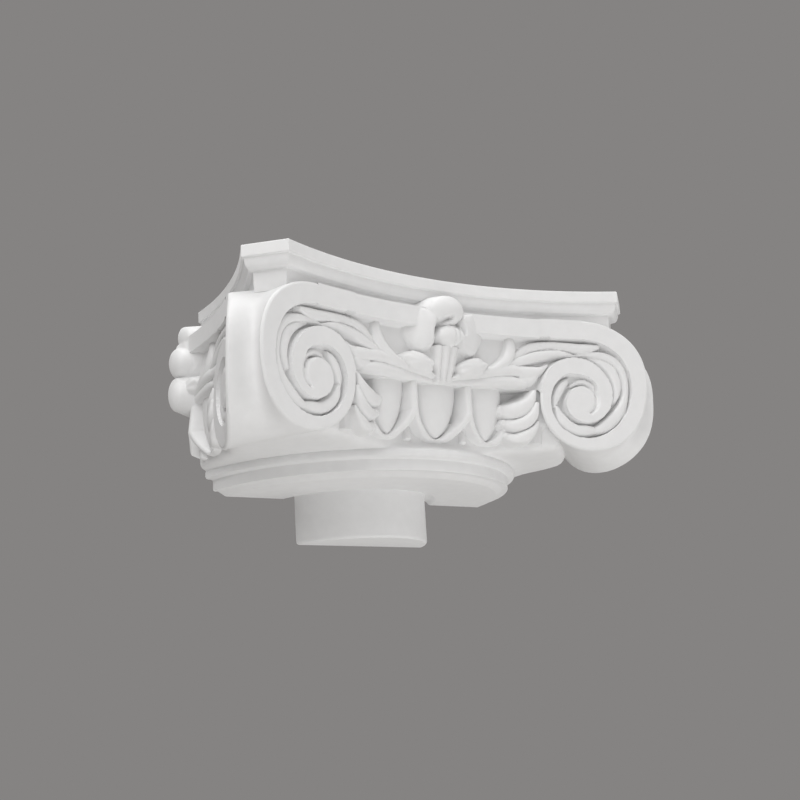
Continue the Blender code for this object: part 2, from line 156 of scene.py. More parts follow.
def addLayer(level, along, height, layer):
    for knots in layer["lines"].values():
        picked, gap, out, wide = overLine(along, height, knots)
        across = np.minimum(gap / wide, 1)
        top = out - layer["crown"] * wide * (1 - np.sqrt(1 - across**2))
        top = top - carving["ridgeFall"] * np.maximum(gap - wide, 0)
        level[picked] = softMax(level[picked], top, layer["blend"])


def cutGroove(level, along, height, groove):
    picked, gap, _, wide = overLine(along, height, groove["line"])
    level[picked] -= groove["depth"] * np.exp(-((gap / wide) ** 2))


# What a rounded form has when its own entry doesn't say
plainBlob = {"turn": 0, "blend": 0.8, "tilt": (0, 0), "ruffle": 0}


def addBlob(level, along, height, settings):
    blob = {**plainBlob, **settings}
    wide, tall = blob["half"]
    turn = math.radians(blob["turn"])
    right, up = along - blob["at"][0], height - blob["at"][1]
    across = (right * math.cos(turn) + up * math.sin(turn)) / wide
    rise = (-right * math.sin(turn) + up * math.cos(turn)) / tall
    spot = np.hypot(across, rise)
    picked = spot < carving["blobReach"]
    spot, right, up = spot[picked], right[picked], up[picked]
    bearing = np.arctan2(rise[picked], across[picked])
    if blob["ruffle"]:
        spot = spot / (1 + carving["petalEdge"] * np.cos(carving["petalLobes"] * bearing))
    top = blob["peak"] - blob["crown"] * (1 - np.sqrt(np.clip(1 - spot**2, 0, 1)))
    top = top - carving["blobFall"] * wide * np.maximum(spot - 1, 0)
    top = top + blob["tilt"][0] * right + blob["tilt"][1] * up
    top = top + blob["ruffle"] * np.cos(carving["petalWaves"] * bearing) * np.clip(spot, 0, 1) ** 3
    level[picked] = softMax(level[picked], top, blob["blend"])


# Spiral of a volute: radii of the ribbon's outer and inner edge at each eighth of a turn from the top
spiral = {
    "along": 121,             # its middle on the face
    "height": 66,
    "outer": (59.5, 58.7, 52.3, 50.8, 45.5, 41, 36.3, 33.6, 28.5, 24.6, 24.2, 24.8, 23.3, 19.5,
              12.5, 7.6, 6, 6.6, 9.4, 12.6),
    "inner": (44, 43, 39.3, 37.4, 35.5, 32.5, 27, 20.5, 14.5, 13.2, 11.3, 10.8),
    "wall": 2.1,              # width of the rounded wall of a channel
    "channelDepth": 9,
    "fieldDepth": 8.5,        # depth of the sunk field under the band
    "fieldBlend": (85, 125),  # where along the face the one passes into the other
    "fieldSpare": 0.4,        # how far the field reaches up under the band
    "eyeDepth": 6,
    "eyeBlend": (5.6, 7.4),   # eighths over which the channel rises to the depth round the eye
    "lastEighth": 2.7,        # where the innermost turn of the channel ends
    "eyeCrease": {
        "depth": 2.4,
        "line": ((124, 72.4, 0, 1.4), (129.6, 69.4, 0, 1.8), (132.4, 62.6, 0, 1.9), (131.4, 55.4, 0, 1.6),
                 (127, 50.8, 0, 1.1)),
    },
}
eighthTurn = math.pi / 4
notSunk = -9


def sunkShare(along, height):
    # how far a place is inside the sunk field or a channel, and how deep that one is
    right, up = along - spiral["along"], height - spiral["height"]
    radius = np.hypot(right, up)
    eighth = np.arctan2(right, up) % math.tau / eighthTurn
    outer = [smoothValue(spiral["outer"], eighth + step) for step in (0, 8, 16)]
    inner = [smoothValue(spiral["inner"], eighth + step) for step in (0, 8)]
    first = np.minimum(inner[0] - radius, radius - outer[1])
    second = np.minimum(inner[1] - radius, radius - outer[2])
    second = np.where(eighth < spiral["lastEighth"], second, notSunk)
    field = np.minimum(face["bandBottom"] + spiral["fieldSpare"] - height, radius - outer[0])
    field = np.where((along < spiral["along"]) & (height > spiral["height"]), field, notSunk)
    channelDepth, fieldDepth, eyeDepth = spiral["channelDepth"], spiral["fieldDepth"], spiral["eyeDepth"]
    deep = channelDepth + (fieldDepth - channelDepth) * (1 - ramp(along, *spiral["fieldBlend"]))
    deep = np.where((second > first) & (second > field), eyeDepth, deep)
    deep = np.where(first >= field, deep + (eyeDepth - deep) * ramp(eighth, *spiral["eyeBlend"]), deep)
    return np.maximum(np.maximum(first, field), second), deep


# Leaves in the spiral's channels. Each row of these lines is along, height, out from the face, half width.
channelLeaves = {
    "crown": 0.5,
    "blend": 0.4,
    "lines": {
        "outerRun": (
            (116.1, 97.8, -3.4, 0.8), (126.8, 98.6, -2.6, 1.8), (138.6, 97.8, -2, 2.6),
            (148.3, 93.3, -1.8, 3), (154.2, 85.5, -1.8, 2.6), (156.7, 74.8, -1.6, 2.1),
            (156.1, 64, -1.6, 2.3), (152.2, 53.3, -1.4, 4), (145.8, 45.5, -1, 4.8),
            (138.6, 39.7, -1, 4.4), (132.7, 37.1, -1.6, 3),
        ),
        "innerRun": (
            (128, 96.4, -4.4, 1.1), (138, 92, -3, 2.7), (145.4, 86, -2.2, 3.8), (149.4, 77, -1.8, 3.4),
            (149.8, 68, -1.8, 2.7), (147.2, 60.8, -2, 1.4),
        ),
        "lowerLobe": (
            (131.2, 36.8, -2.2, 2.8), (124, 36.8, -1, 4), (115.1, 37.4, -1, 4.1), (107.2, 41.6, -1, 4.1),
            (101.7, 47.9, -1.2, 3.5), (98.9, 54.8, -2, 1.2),
        ),
        "innerLobe": (
            (97.4, 56, -3, 1.1), (98.8, 62, -1.8, 2.7), (102, 69, -1.4, 3.2), (106.4, 74.8, -1.8, 2.5),
            (109.4, 78, -3, 0.7),
        ),
        "eyeHook": (
            (112, 72.6, -3.6, 1), (117, 75.2, -2.6, 1.6), (123, 75.6, -2, 1.9), (128.4, 72, -1.4, 2),
            (130.6, 66, -1.2, 1.6),
        ),
    },
}

# Leaf strands that run from the middle of a face into its volutes
fieldLeaves = {
    "crown": 0.62,
    "blend": 0.6,
    "lines": {
        "strandHigh": (
            (61, 91.9, -6, 1.4), (69, 97.3, -4.5, 2.9), (78, 102.5, -3, 3.4), (92, 104.7, -1.8, 3.2),
            (106, 104.5, -1.4, 3.3), (118, 103.3, -1.2, 4), (127, 103.5, -1.2, 3.6), (135, 104.9, -1.6, 1.4),
        ),
        "strandLow": (
            (60, 87.9, -4, 2.4), (70, 91.4, -3, 3.5), (82, 95.4, -2.2, 4), (94, 97.8, -1.6, 3.3),
            (105, 98.3, -1.6, 2.4), (115, 97, -2.4, 0.8),
        ),
        "leafEnd": (
            (60, 84, -4, 2), (70, 83.4, -2.6, 4), (79, 82.6, -2, 5), (86, 84.4, -2.4, 3),
            (92, 88.6, -3.6, 1),
        ),
        "leafRoot": ((70, 77, -4, 3), (77, 76.4, -3, 4), (80.6, 79, -2.6, 3.4)),
    },
}

# Stalks and tendrils beside the flower, laid over the leaves
calyx = {
    "crown": 0.8,
    "blend": 0.6,
    "lines": {
        "low": (
            (4, 71.2, -8, 2.6), (18, 72.2, -6, 3.4), (32, 73.2, -4.4, 3.8), (48, 74.6, -3.2, 4.2),
            (62, 75, -3, 4.2), (73, 73.6, -3.6, 2.6),
        ),
        "high": (
            (6, 74.4, -6, 1.6), (18, 76, -4.4, 2.6), (30, 78.4, -3, 3.4), (43, 81.4, -2, 4.2),
            (55, 83.4, -1.8, 4.6), (66, 83.4, -2.4, 4.2), (75, 79.6, -3.6, 2),
        ),
        "tendril": (
            (38, 80.6, -3, 1.6), (46, 83.6, -1.6, 2.6), (54, 88.6, -1.4, 3.8), (59.4, 95, -2, 4.7),
            (61.4, 102, -3, 4.6), (60.6, 108, -4.4, 3.4), (58.6, 111.6, -6, 1.6),
        ),
        "sprig": ((9, 74, -3, 1), (18, 78, -1.4, 2.2), (27, 82, -0.4, 2.6), (36, 84.6, -1, 1.6)),
    },
}


def friezeLevel(signed, height):
    # band, sunk field, volute and the leaves that grow over them
    along = np.abs(signed)
    inside, deep = sunkShare(along, height)
    share = np.clip(inside / spiral["wall"], 0, 1)
    level = -deep * np.sqrt(1 - (1 - share) ** 2)
    addLayer(level, along, height, channelLeaves)
    cutGroove(level, along, height, spiral["eyeCrease"])
    addLayer(level, along, height, fieldLeaves)
    addLayer(level, along, height, calyx)
    return level


# Flower in the middle of a face. Each form has its middle, its half width and half height, how far its
# top stands out, and how far its edge lies below that.
flower = {
    "base": {"at": (0, 98), "half": (28, 19), "peak": -3, "crown": 7, "blend": 1},
    "lowPetal": {
        "at": (25, 82.4), "half": (13.6, 7.2), "turn": 14,
        "peak": 2.4, "crown": 4.4, "tilt": (-0.1, 0), "ruffle": 0.7,
    },
    "petal": {
        "at": (23, 108.4), "half": (12.6, 16), "turn": -8,
        "peak": 2.1, "crown": 3.6, "tilt": (-0.5, 0.03), "ruffle": 0.5,
    },
    "hood": {"at": (-1.6, 123.4), "half": (15.6, 11.4), "peak": 9.6, "crown": 7.5, "blend": 1},
    "gap": {
        "depth": 7,
        "line": (
            (-8.6, 93, 0, 1.7), (-11, 100, 0, 2.3), (-10.6, 107.6, 0, 2.4), (-6.4, 114, 0, 2),
            (0.4, 117, 0, 1.6),
        ),
    },
    "notch": {"depth": 4, "line": ((9, 116, 0, 1.3), (12.8, 112.4, 0, 1.9), (14.4, 107, 0, 1.6))},
    "bulb": {"at": (1.6, 104), "half": (11.4, 8.4), "peak": 8, "crown": 7},
    "folds": {"depth": 1.6, "line": ((4.4, 110, 0, 0.8), (5, 104, 0, 0.9), (4.6, 97, 0, 0.8))},
}

# Fluted stem, widening to the bulb
stem = {
    "bottom": 71,
    "top": 96,
    "half": (8.6, 3.4),    # half width at the bottom, and how much more it is at the top
    "out": (-9, 6.5),      # how far it stands out at the bottom, and how much further at the top
    "round": 3.6,
    "fluteDepth": 2.6,
    "flutePitch": 0.62,    # width of a flute as a share of the stem's half width
    "fluteShift": 0.6,
    "flutePower": 0.7,
    "fall": 4,             # steepness of its ends and sides
    "below": 1,            # how far it goes on below its bottom
    "reach": 18,           # nothing beyond this is touched
    "blend": 0.7,
}


def addStem(level, signed, height):
    share = np.clip((height - stem["bottom"]) / (stem["top"] - stem["bottom"]), 0, 1)
    half = stem["half"][0] + stem["half"][1] * share
    turn = math.pi * (signed + stem["fluteShift"]) / (half * stem["flutePitch"]) + math.pi / 2
    roundness = np.sqrt(np.clip(1 - (signed / half) ** 2, 0, 1))
    top = stem["out"][0] + stem["out"][1] * share + stem["round"] * roundness
    top = top + stem["fluteDepth"] * np.abs(np.sin(turn)) ** stem["flutePower"]
    for past in (np.abs(signed) - half, height - stem["top"], stem["bottom"] - stem["below"] - height):
        top = top - stem["fall"] * np.maximum(past, 0)
    close = np.abs(signed) < stem["reach"]
    level[close] = softMax(level[close], top[close], stem["blend"])


def addFlower(level, signed, height):
    along = np.abs(signed)
    addBlob(level, signed, height, flower["base"])
    addBlob(level, along, height, flower["lowPetal"])
    addBlob(level, along, height, flower["petal"])
    addBlob(level, signed, height, flower["hood"])
    cutGroove(level, signed, height, flower["gap"])
    cutGroove(level, signed, height, flower["notch"])
    addBlob(level, signed, height, flower["bulb"])
    cutGroove(level, signed, height, flower["folds"])
    addStem(level, signed, height)


def frontFrieze(signed, height):
    # above the band only the flower stands out
    level = friezeLevel(signed, height)
    addFlower(level, signed, height)
    below, beyond = face["bandEdge"]
    above = ramp(height, face["bandTop"] - below, face["bandTop"] + beyond)
    plain = level * (1 - above) + face["behindBand"] * above
    petals = np.full(signed.shape, face["behindBand"])
    addFlower(petals, signed, height)
    return np.where(above > 0, np.maximum(plain, petals), level)


# Outer half of the flower on a side face, cut off by the wall, and the fruit below it
sideFlower = {
    "hood": {"at": (10, 126), "half": (18, 10), "peak": 4, "crown": 6},
    "bulb": {"at": (15, 104.6), "half": (14, 12.4), "peak": 11, "crown": 8},
    "fruit": {"at": (15, 79), "half": (13, 14), "peak": 11, "crown": 8},
}


def sideFrieze(along, height):
    level = frontFrieze(along, height)
    for form in sideFlower.values():
        addBlob(level, along, height, form)
    return level


eggs = {
    "spacing": 43.5,
    "widths": (17.5, 14),     # half width of the middle egg and of the outer ones
    "top": 68,                # height of the widest place
    "drop": 38.5,             # from there to the tip
    "lastShare": 0.999,       # the width stops narrowing just before the tip
    "taper": 2.2,             # how full an egg stays before its tip
    "outTop": -10.6,
    "outTip": -16.5,
    "round": 8,
    "fall": 4,                # steepness of the slope beside an egg
    "blend": 0.6,
    "ground": -23,
    "belowTip": -60,
    "rise": (13.5, 70, 83),   # how much the ground rises beside the outer egg, and from where to where
    "dip": (16, 87, 98),      # how much it sinks again beyond, and from where to where
    "dipHeights": (34, 44),   # the dip ends between these heights
    "foot": 27,               # what is lower sinks behind the bell
    "footFall": 3,
    "sideRise": 3,            # how much further out all this stands on a side face
}

# Rim of each egg's shell, and the dart under the meeting of two shells
shells = {
    "crown": 1,
    "blend": 0.8,
    "lines": {
        "middle": (
            (24.6, 80, -7.4, 3.2), (24.6, 66, -7, 3.2), (24.6, 54, -6, 3.2), (24.2, 46.6, -5.6, 3),
            (20, 39.6, -8.4, 2.6), (13.4, 33, -12, 2.5), (6.6, 28.4, -15, 2.4), (0, 26.4, -16.6, 2.4),
        ),
        "outer": (
            (24.8, 47, -5.6, 2.8), (28.6, 39.6, -8.4, 2.5), (34.6, 32.4, -12, 2.4), (42, 27, -15, 2.4),
            (49, 27.4, -14.6, 2.4), (56, 32.6, -13, 2.4), (60, 40, -13, 2),
        ),
        "dart": ((24.6, 37.6, -17, 1.2), (24.6, 30, -15.6, 2.6), (24.6, 24.6, -16, 3)),
    },
}

# Lobes of the half leaf beside a volute
fingers = {
    "crown": 0.6,
    "blend": 0.5,
    "lines": {
        "high": (
            (56, 53, -10, 4.4), (64, 52.4, -5, 6), (71.4, 54.4, -2.4, 5.8), (77.4, 60, -1.6, 4),
            (80.6, 67, -3, 1.6),
        ),
        "middle": (
            (58, 42.4, -10, 3.2), (66, 41, -5.2, 4.4), (73.4, 43, -2, 4.6), (79, 48.6, -0.6, 3.8),
            (82, 57, -1.6, 1.8),
        ),
        "low": (
            (60, 33, -11, 3), (67, 30.4, -6.4, 4.2), (74.4, 32.6, -3.4, 4.2), (80.4, 38, -2.4, 2.4),
            (83, 43, -3, 1),
        ),
    },
}


def echinusLevel(signed, height):
    along = np.abs(signed)
    rise, *riseSpan = eggs["rise"]
    dip, *dipSpan = eggs["dip"]
    level = eggs["ground"] + rise * ramp(along, *riseSpan)
    level = level - dip * ramp(along, *dipSpan) * (1 - ramp(height, *eggs["dipHeights"]))
    share = np.clip((eggs["top"] - height) / eggs["drop"], 0, eggs["lastShare"])
    for middle, wide in zip((0, eggs["spacing"]), eggs["widths"]):
        half = wide * np.sqrt(1 - share ** eggs["taper"])
        beside = np.abs(along - middle)
        across = np.minimum(beside / half, 1)
        peak = eggs["outTop"] + (eggs["outTip"] - eggs["outTop"]) * share**2
        top = peak - eggs["round"] * (1 - np.sqrt(1 - across**2))
        top = top - eggs["fall"] * np.maximum(beside - half, 0)
        top = np.where(height < eggs["top"] - eggs["drop"], eggs["belowTip"], top)
        level = softMax(level, top, eggs["blend"])
    addLayer(level, along, height, shells)
    addLayer(level, along, height, fingers)
    return level - eggs["footFall"] * np.maximum(eggs["foot"] - height, 0)


def sideEchinus(along, height):
    level = echinusLevel(along, height) + eggs["sideRise"]
    addBlob(level, along, height, sideFlower["fruit"])
    return level


def linearColour(hexColour):
    # sRGB hex to the linear values a shader takes
    channels = [int(hexColour[i:i + 2], 16) / 255 for i in (1, 3, 5)]
    return tuple(c / 12.92 if c <= 0.04045 else ((c + 0.055) / 1.055) ** 2.4 for c in channels) + (1,)


def addNode(tree, kind, settings=None, links=None):
    made = tree.nodes.new(kind)
    for key, value in (settings or {}).items():
        if key in made.inputs:
            made.inputs[key].default_value = value
        else:
            setattr(made, key, value)
    for key, source in (links or {}).items():
        tree.links.new(source, made.inputs[key])
    return made


primer = {
    "dark": "#e2e2e2",
    "light": "#ebebeb",
    "patch": 9,                  # size of its faint patches
    "grit": 1.1,                 # size of its grain
    "gritShare": 0.25,           # how much the grain adds to the bumps of the patches
    "roughness": (0.46, 0.58),
    "bumpStrength": 0.25,
    "bumpHeight": 0.25,
    "ior": 1.48,
}


def makePaintedFoam():
    # White primer on moulded rigid polyurethane: matt, with faint patches and a fine grain
    made = bpy.data.materials.new("primedPolyurethane")
    made.use_nodes = True
    tree = made.node_tree
    shader = tree.nodes["Principled BSDF"]
    place = addNode(tree, "ShaderNodeTexCoord").outputs["Object"]
    patch = {"Scale": 1 / (primer["patch"] * mm), "Detail": 3, "Roughness": 0.55}
    skin = addNode(tree, "ShaderNodeTexNoise", patch, {"Vector": place})
    grain = {"Scale": 1 / (primer["grit"] * mm), "Detail": 2}
    grit = addNode(tree, "ShaderNodeTexNoise", grain, {"Vector": place})
    tone = addNode(tree, "ShaderNodeMix", {"data_type": "RGBA"})
    tone.inputs[6].default_value = linearColour(primer["dark"])
    tone.inputs[7].default_value = linearColour(primer["light"])
    tree.links.new(skin.outputs["Fac"], tone.inputs["Factor"])
    tree.links.new(tone.outputs[2], shader.inputs["Base Color"])
    smoothest, roughest = primer["roughness"]
    spread = {"To Min": smoothest, "To Max": roughest}
    rough = addNode(tree, "ShaderNodeMapRange", spread, {"Value": skin.outputs["Fac"]})
    tree.links.new(rough.outputs["Result"], shader.inputs["Roughness"])
    sources = {0: grit.outputs["Fac"], 2: skin.outputs["Fac"]}
    both = addNode(tree, "ShaderNodeMath", {"operation": "MULTIPLY_ADD"}, sources)
    both.inputs[1].default_value = primer["gritShare"]
    relief = {"Strength": primer["bumpStrength"], "Distance": primer["bumpHeight"] * mm}
    bump = addNode(tree, "ShaderNodeBump", relief, {"Height": both.outputs["Value"]})
    tree.links.new(bump.outputs["Normal"], shader.inputs["Normal"])
    shader.inputs["IOR"].default_value = primer["ior"]
    return made


paintedFoam = makePaintedFoam()
print("material made")


def gridOf(across, up):
    bm = bmesh.new()
    bmesh.ops.create_grid(bm, x_segments=across, y_segments=up, size=0.5)
    spots = np.array([(corner.co.x + 0.5, corner.co.y + 0.5) for corner in bm.verts])
    return bm, spots[:, 0], spots[:, 1]


def moveCorners(bm, points):
    for corner, point in zip(bm.verts, points * mm):
        corner.co = point


def finishPiece(name, bm, sharp):
    # sharp is the angle in degrees from which an edge stays crisp
    bmesh.ops.remove_doubles(bm, verts=bm.verts, dist=0.01 * mm)
    bmesh.ops.recalc_face_normals(bm, faces=bm.faces)
    if bm.calc_volume(signed=True) < 0:
        bmesh.ops.reverse_faces(bm, faces=bm.faces)
    mesh = bpy.data.meshes.new(name)
    bm.to_mesh(mesh)
    bm.free()
    mesh.shade_smooth()
    mesh.set_sharp_from_angle(angle=math.radians(sharp))
    piece = bpy.data.objects.new(name, mesh)
    bpy.context.scene.collection.objects.link(piece)
    mesh.materials.append(paintedFoam)
    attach(piece, "root")
    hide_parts("capital")
    print(name, len(mesh.polygons), "faces")


carvedSharp = 38
turnedSharp = 30
mouldedSharp = 24


# Reach of each slab from the middle of its face, its lowest and highest place, and its cells each way
slabs = {
    "friezeFront": {"reach": 84.9, "bottom": 69.2, "top": 136, "cells": (300, 118)},
    "echinusFront": {"reach": 100, "bottom": 23.4, "top": 80, "cells": (330, 100)},
    "friezeSide": {"reach": 84.9, "bottom": 69.2, "top": 135.6, "cells": (120, 108)},
    "echinusSide": {"reach": 99.6, "bottom": 23.8, "top": 80, "cells": (130, 90)},
}


def closeBack(bm, place):
    # the sheet's open edge goes straight back to the inner face, which is closed flat
    rim = [edge for edge in bm.edges if edge.is_boundary]
    raised = bmesh.ops.extrude_edge_only(bm, edges=rim)["geom"]
    for corner in [item for item in raised if isinstance(item, bmesh.types.BMVert)]:
        corner.co = place(corner.co)
    rim = [edge for edge in bm.edges if edge.is_boundary]
    bmesh.ops.contextual_create(bm, geom=rim)


def carveSlab(slab, points, hand, start, levelAt):
    bm, across, up = gridOf(*slab["cells"])
    along = start + (slab["reach"] - start) * across
    height = slab["bottom"] + (slab["top"] - slab["bottom"]) * up
    moveCorners(bm, points(hand, along, height, levelAt(along, height)))
    return bm


def makeFrontSlab(name, slab, levelAt):
    bm = carveSlab(slab, frontPoints, 1, -slab["reach"], levelAt)
    closeBack(bm, lambda spot: Vector((spot.x, -face["innerFront"] * mm, spot.z)))
    finishPiece(name, bm, carvedSharp)


def makeSideSlab(name, slab, hand, gap, levelAt):
    # starts at the wall
    bm = carveSlab(slab, sidePoints, hand, axisBehind + gap, levelAt)
    closeBack(bm, lambda spot: Vector((hand * face["innerSide"] * mm, spot.y, spot.z)))
    finishPiece(name, bm, carvedSharp)


# One closed drum: front spiral, bolster round the corner, side spiral
volute = {
    "rimEighths": 6,      # the spiral's outer edge is the drum's rim as far as this
    "sideDrop": 7.5,      # how much lower the rim reaches on a side face
    "dropPower": 1.5,
    "arris": 2,           # rounding of the rim
    "hollow": 8,          # how far the bolster sinks along the corner
    "hollowEase": 0.8,    # below 1 the deepest place lies nearer the front
    "hollowPower": 1.3,
    "ringCells": 92,      # cells from the middle of a spiral to its rim
    "bolsterCells": 26,
    "turnCells": 420,
}


def rimRadius(turn):
    rim = spiral["outer"][:volute["rimEighths"] + 1]
    eighth = turn / eighthTurn
    inward = rim[-1] / np.maximum(np.abs(np.sin(turn)), 1e-6)
    upward = rim[0] / np.maximum(np.cos(turn), 1e-6)
    return np.where(eighth <= volute["rimEighths"], smoothValue(rim, eighth), np.minimum(inward, upward))


def makeVolute(name, hand):
    rings, bolster = volute["ringCells"], volute["bolsterCells"]
    bm, across, up = gridOf(2 * rings + bolster, volute["turnCells"])
    cell = across * (2 * rings + bolster)
    turn = up * math.tau
    frontShare = np.clip(cell / rings, 0, 1)
    sideShare = np.clip((2 * rings + bolster - cell) / rings, 0, 1)
    length = np.clip((cell - rings) / bolster, 0, 1)
    radius = rimRadius(turn)
    sideRadius = radius + volute["sideDrop"] * np.maximum(-np.cos(turn), 0) ** volute["dropPower"]
    corners = []
    for points, share, reach in ((frontPoints, frontShare, radius), (sidePoints, sideShare, sideRadius)):
        along = spiral["along"] + reach * share * np.sin(turn)
        height = spiral["height"] + reach * share * np.cos(turn)
        out = friezeLevel(along, height)
        edge = np.clip(reach * (1 - share) / volute["arris"], 0, 1)
        rounded = np.where(turn > volute["rimEighths"] * eighthTurn, 0, 1 - np.sqrt(1 - (1 - edge) ** 2))
        corners.append(points(hand, along, height, out - volute["arris"] * rounded))
    deepest = np.sin(math.pi * length ** volute["hollowEase"]) ** volute["hollowPower"]
    hollow = volute["hollow"] * deepest * np.maximum(np.sin(turn), 0)
    middle = corners[0] + (corners[1] - corners[0]) * length[:, None]
    middle[:, 0] -= hand * hollow
    middle[:, 1] += hollow
    onFront, onSide = (cell <= rings)[:, None], (cell >= rings + bolster)[:, None]
    moveCorners(bm, np.where(onFront, corners[0], np.where(onSide, corners[1], middle)))
    finishPiece(name, bm, carvedSharp)


def loftRings(bm, rings):
    loops = []
    for points in rings:
        ring = [bm.verts.new([part * mm for part in point]) for point in points]
        loops.append([bm.edges.new((ring[i - 1], ring[i])) for i in range(len(ring))])
    for upper, lower in zip(loops, loops[1:]):
        bmesh.ops.bridge_loops(bm, edges=upper + lower)
    for ends in (loops[0], loops[-1]):
        bmesh.ops.contextual_create(bm, geom=ends)


abacus = {
    "half": 175,
    "corner": 24.8,       # width of a cut corner along each edge
    "sag": 33.4,          # how far an edge curves in
    "top": 150,
    "frontSteps": 40,     # steps from the middle of an edge to its end
    "sideSteps": 30,
    "halvings": 40,       # halvings that find where the curve meets the cut corner
    "profile": (  # height below the top, inset
        (0, 0.8), (0.8, 0), (8.6, 0), (9.3, 0.4), (9.6, 1.5), (10.1, 1.9), (11.6, 2.1), (13.2, 2.5),
        (14.8, 3.1), (16.2, 4), (17.2, 5.1), (17.6, 6.6), (17.9, 8.2), (18.8, 8.8), (33, 9.6),
    ),
}


def abacusOutline(inset):
    reach = abacus["half"] - abacus["corner"]
    radius = (reach**2 + abacus["sag"] ** 2) / (2 * abacus["sag"])
    middle = abacus["half"] - abacus["sag"] - inset

    def curve(across):
        return middle + radius - math.sqrt(radius**2 - across * across)

    low, high = reach - 3 * inset - 1, reach + 3 * inset + 1
    cut = 2 * abacus["half"] - abacus["corner"] - inset * math.sqrt(2)
    for _ in range(abacus["halvings"]):
        end = (low + high) / 2
        low, high = (end, high) if end + curve(end) < cut else (low, end)
    steps = abacus["frontSteps"]
    front = [(end * share / steps, -curve(end * share / steps)) for share in range(-steps, steps + 1)]
    steps = abacus["sideSteps"]
    side = [(curve(end * share / steps), -end * share / steps) for share in range(steps, -1, -1)]
    half = [(across, min(depth, -wallGap["abacus"])) for across, depth in side]
    return [(-across, depth) for across, depth in reversed(half)] + front + half


def makeAbacus():
    bm = bmesh.new()
    rings = []
    for drop, inset in abacus["profile"]:
        rings.append([(x, y, abacus["top"] - drop) for x, y in abacusOutline(inset)])
    loftRings(bm, rings)
    finishPiece("abacus", bm, mouldedSharp)


neck = {
    "steps": 300,
    "profile": (  # radius about the axis, height
        (0, 40), (112, 40), (112, 22), (136.4, 20), (138.8, 19.2), (139.5, 17.8), (139.5, 14.8),
        (138.9, 13.6), (137.6, 12.9), (134.6, 12.8), (133.5, 12.3), (133.2, 11.4), (133.2, 4.6), (132.8, 3.9),
        (131.4, 3.6), (129.2, 3.6), (127.8, 3), (123.4, 0.3), (122.4, 0), (72.6, 0), (71.2, 0.4), (69, 2.6),
        (66, 3.7), (63.2, 3.8), (62.5, 3.2), (62.5, -34.4), (62.1, -35.8), (61.2, -36.7), (59.8, -37),
        (0, -37),
    ),
}


def cutAtWall(bm, gap):
    parts = bm.verts[:] + bm.edges[:] + bm.faces[:]
    bmesh.ops.bisect_plane(bm, geom=parts, plane_co=(0, -gap * mm, 0), plane_no=(0, 1, 0), clear_outer=True)
    rim = [edge for edge in bm.edges if edge.is_boundary]
    bmesh.ops.contextual_create(bm, geom=rim)


def makeNeck():
    bm = bmesh.new()
    line = [bm.verts.new((radius * mm, axisBehind * mm, height * mm)) for radius, height in neck["profile"]]
    edges = [bm.edges.new(pair) for pair in zip(line, line[1:])]
    centre = (0, axisBehind * mm, 0)
    bmesh.ops.spin(
        bm, geom=line + edges, cent=centre, axis=(0, 0, 1), angle=math.tau, steps=neck["steps"],
        use_merge=True,
    )
    bmesh.ops.remove_doubles(bm, verts=bm.verts, dist=0.001 * mm)
    cutAtWall(bm, wallGap["neck"])
    finishPiece("neck", bm, turnedSharp)


# Outline a little behind the carved faces, which the bell and the core share
behindFaces = {
    "ring": 138.6,            # radius of the circle over the neck's ring
    "wallRadius": 139,        # radius at which the outline meets the wall
    "steps": 150,
    "cornerSpan": (62, 88),   # where along a face the middle's setback passes into the volute's
    "sideSpare": 3,           # how much less the setback is on a side face
    "blend": 8,               # rounding between front and side
    "firstRadius": 150.0,
    "rounds": 30,             # rounds in which the radius settles
    "leastShare": 0.05,       # keeps a ray along a face from dividing by nothing
}


def followFaces(height, share, back, corner, cap, gap):
    # drawn in to the ring's circle as share falls, no wider than cap, cut off at the wall
    wall = math.asin(axisBehind / behindFaces["wallRadius"])
    turn = np.linspace(wall, math.pi - wall, behindFaces["steps"])
    across, ahead = np.abs(np.cos(turn)), np.sin(turn)
    radius = np.full(turn.shape, behindFaces["firstRadius"])
    rise = height - face["leanHeight"]
    span, least = behindFaces["cornerSpan"], behindFaces["leastShare"]
    for _ in range(behindFaces["rounds"]):
        x, y = radius * across, radius * ahead
        front = face["frontMiddle"] + face["lean"] * rise
        front = front + face["frontArc"] - np.sqrt(face["frontArc"] ** 2 - x * x)
        front = (front + axisBehind - back + (back - corner) * ramp(x, *span)) / np.maximum(ahead, least)
        flare = face["sideFlare"] * (np.maximum(y - axisBehind, 0) / face["sideEnd"]) ** face["sidePower"]
        side = face["sideMiddle"] + face["sideLean"] * rise + flare - back + behindFaces["sideSpare"]
        side = (side + (back - corner) * ramp(y, *span)) / np.maximum(across, least)
        radius = 0.5 * radius + 0.5 * np.minimum(-softMax(-front, -side, behindFaces["blend"]), cap)
    radius = behindFaces["ring"] + (radius - behindFaces["ring"]) * share
    depth = axisBehind - radius * ahead
    depth[0] = depth[-1] = -gap
    return [(-r * math.cos(t), min(d, -gap), height) for r, t, d in zip(radius, turn, depth)]


bell = {
    "back": 20,      # how far its top lies behind the middle of a face
    "corner": 13,    # the same under a volute
    "cap": 184,      # its largest radius
    "profile": (  # height, share of the way from the ring's circle to the faces' outline
        (42, 1), (32, 1), (29, 0.99), (27, 0.97), (25, 0.93), (23.5, 0.86), (22.3, 0.75), (21.4, 0.6),
        (20.7, 0.42), (20.1, 0.22), (19.5, 0.07), (18.8, 0), (16, 0),
    ),
}


def makeBell():
    bm = bmesh.new()
    back, corner, cap, gap = bell["back"], bell["corner"], bell["cap"], wallGap["bell"]
    loftRings(bm, [followFaces(height, share, back, corner, cap, gap) for height, share in bell["profile"]])
    finishPiece("bell", bm, turnedSharp)


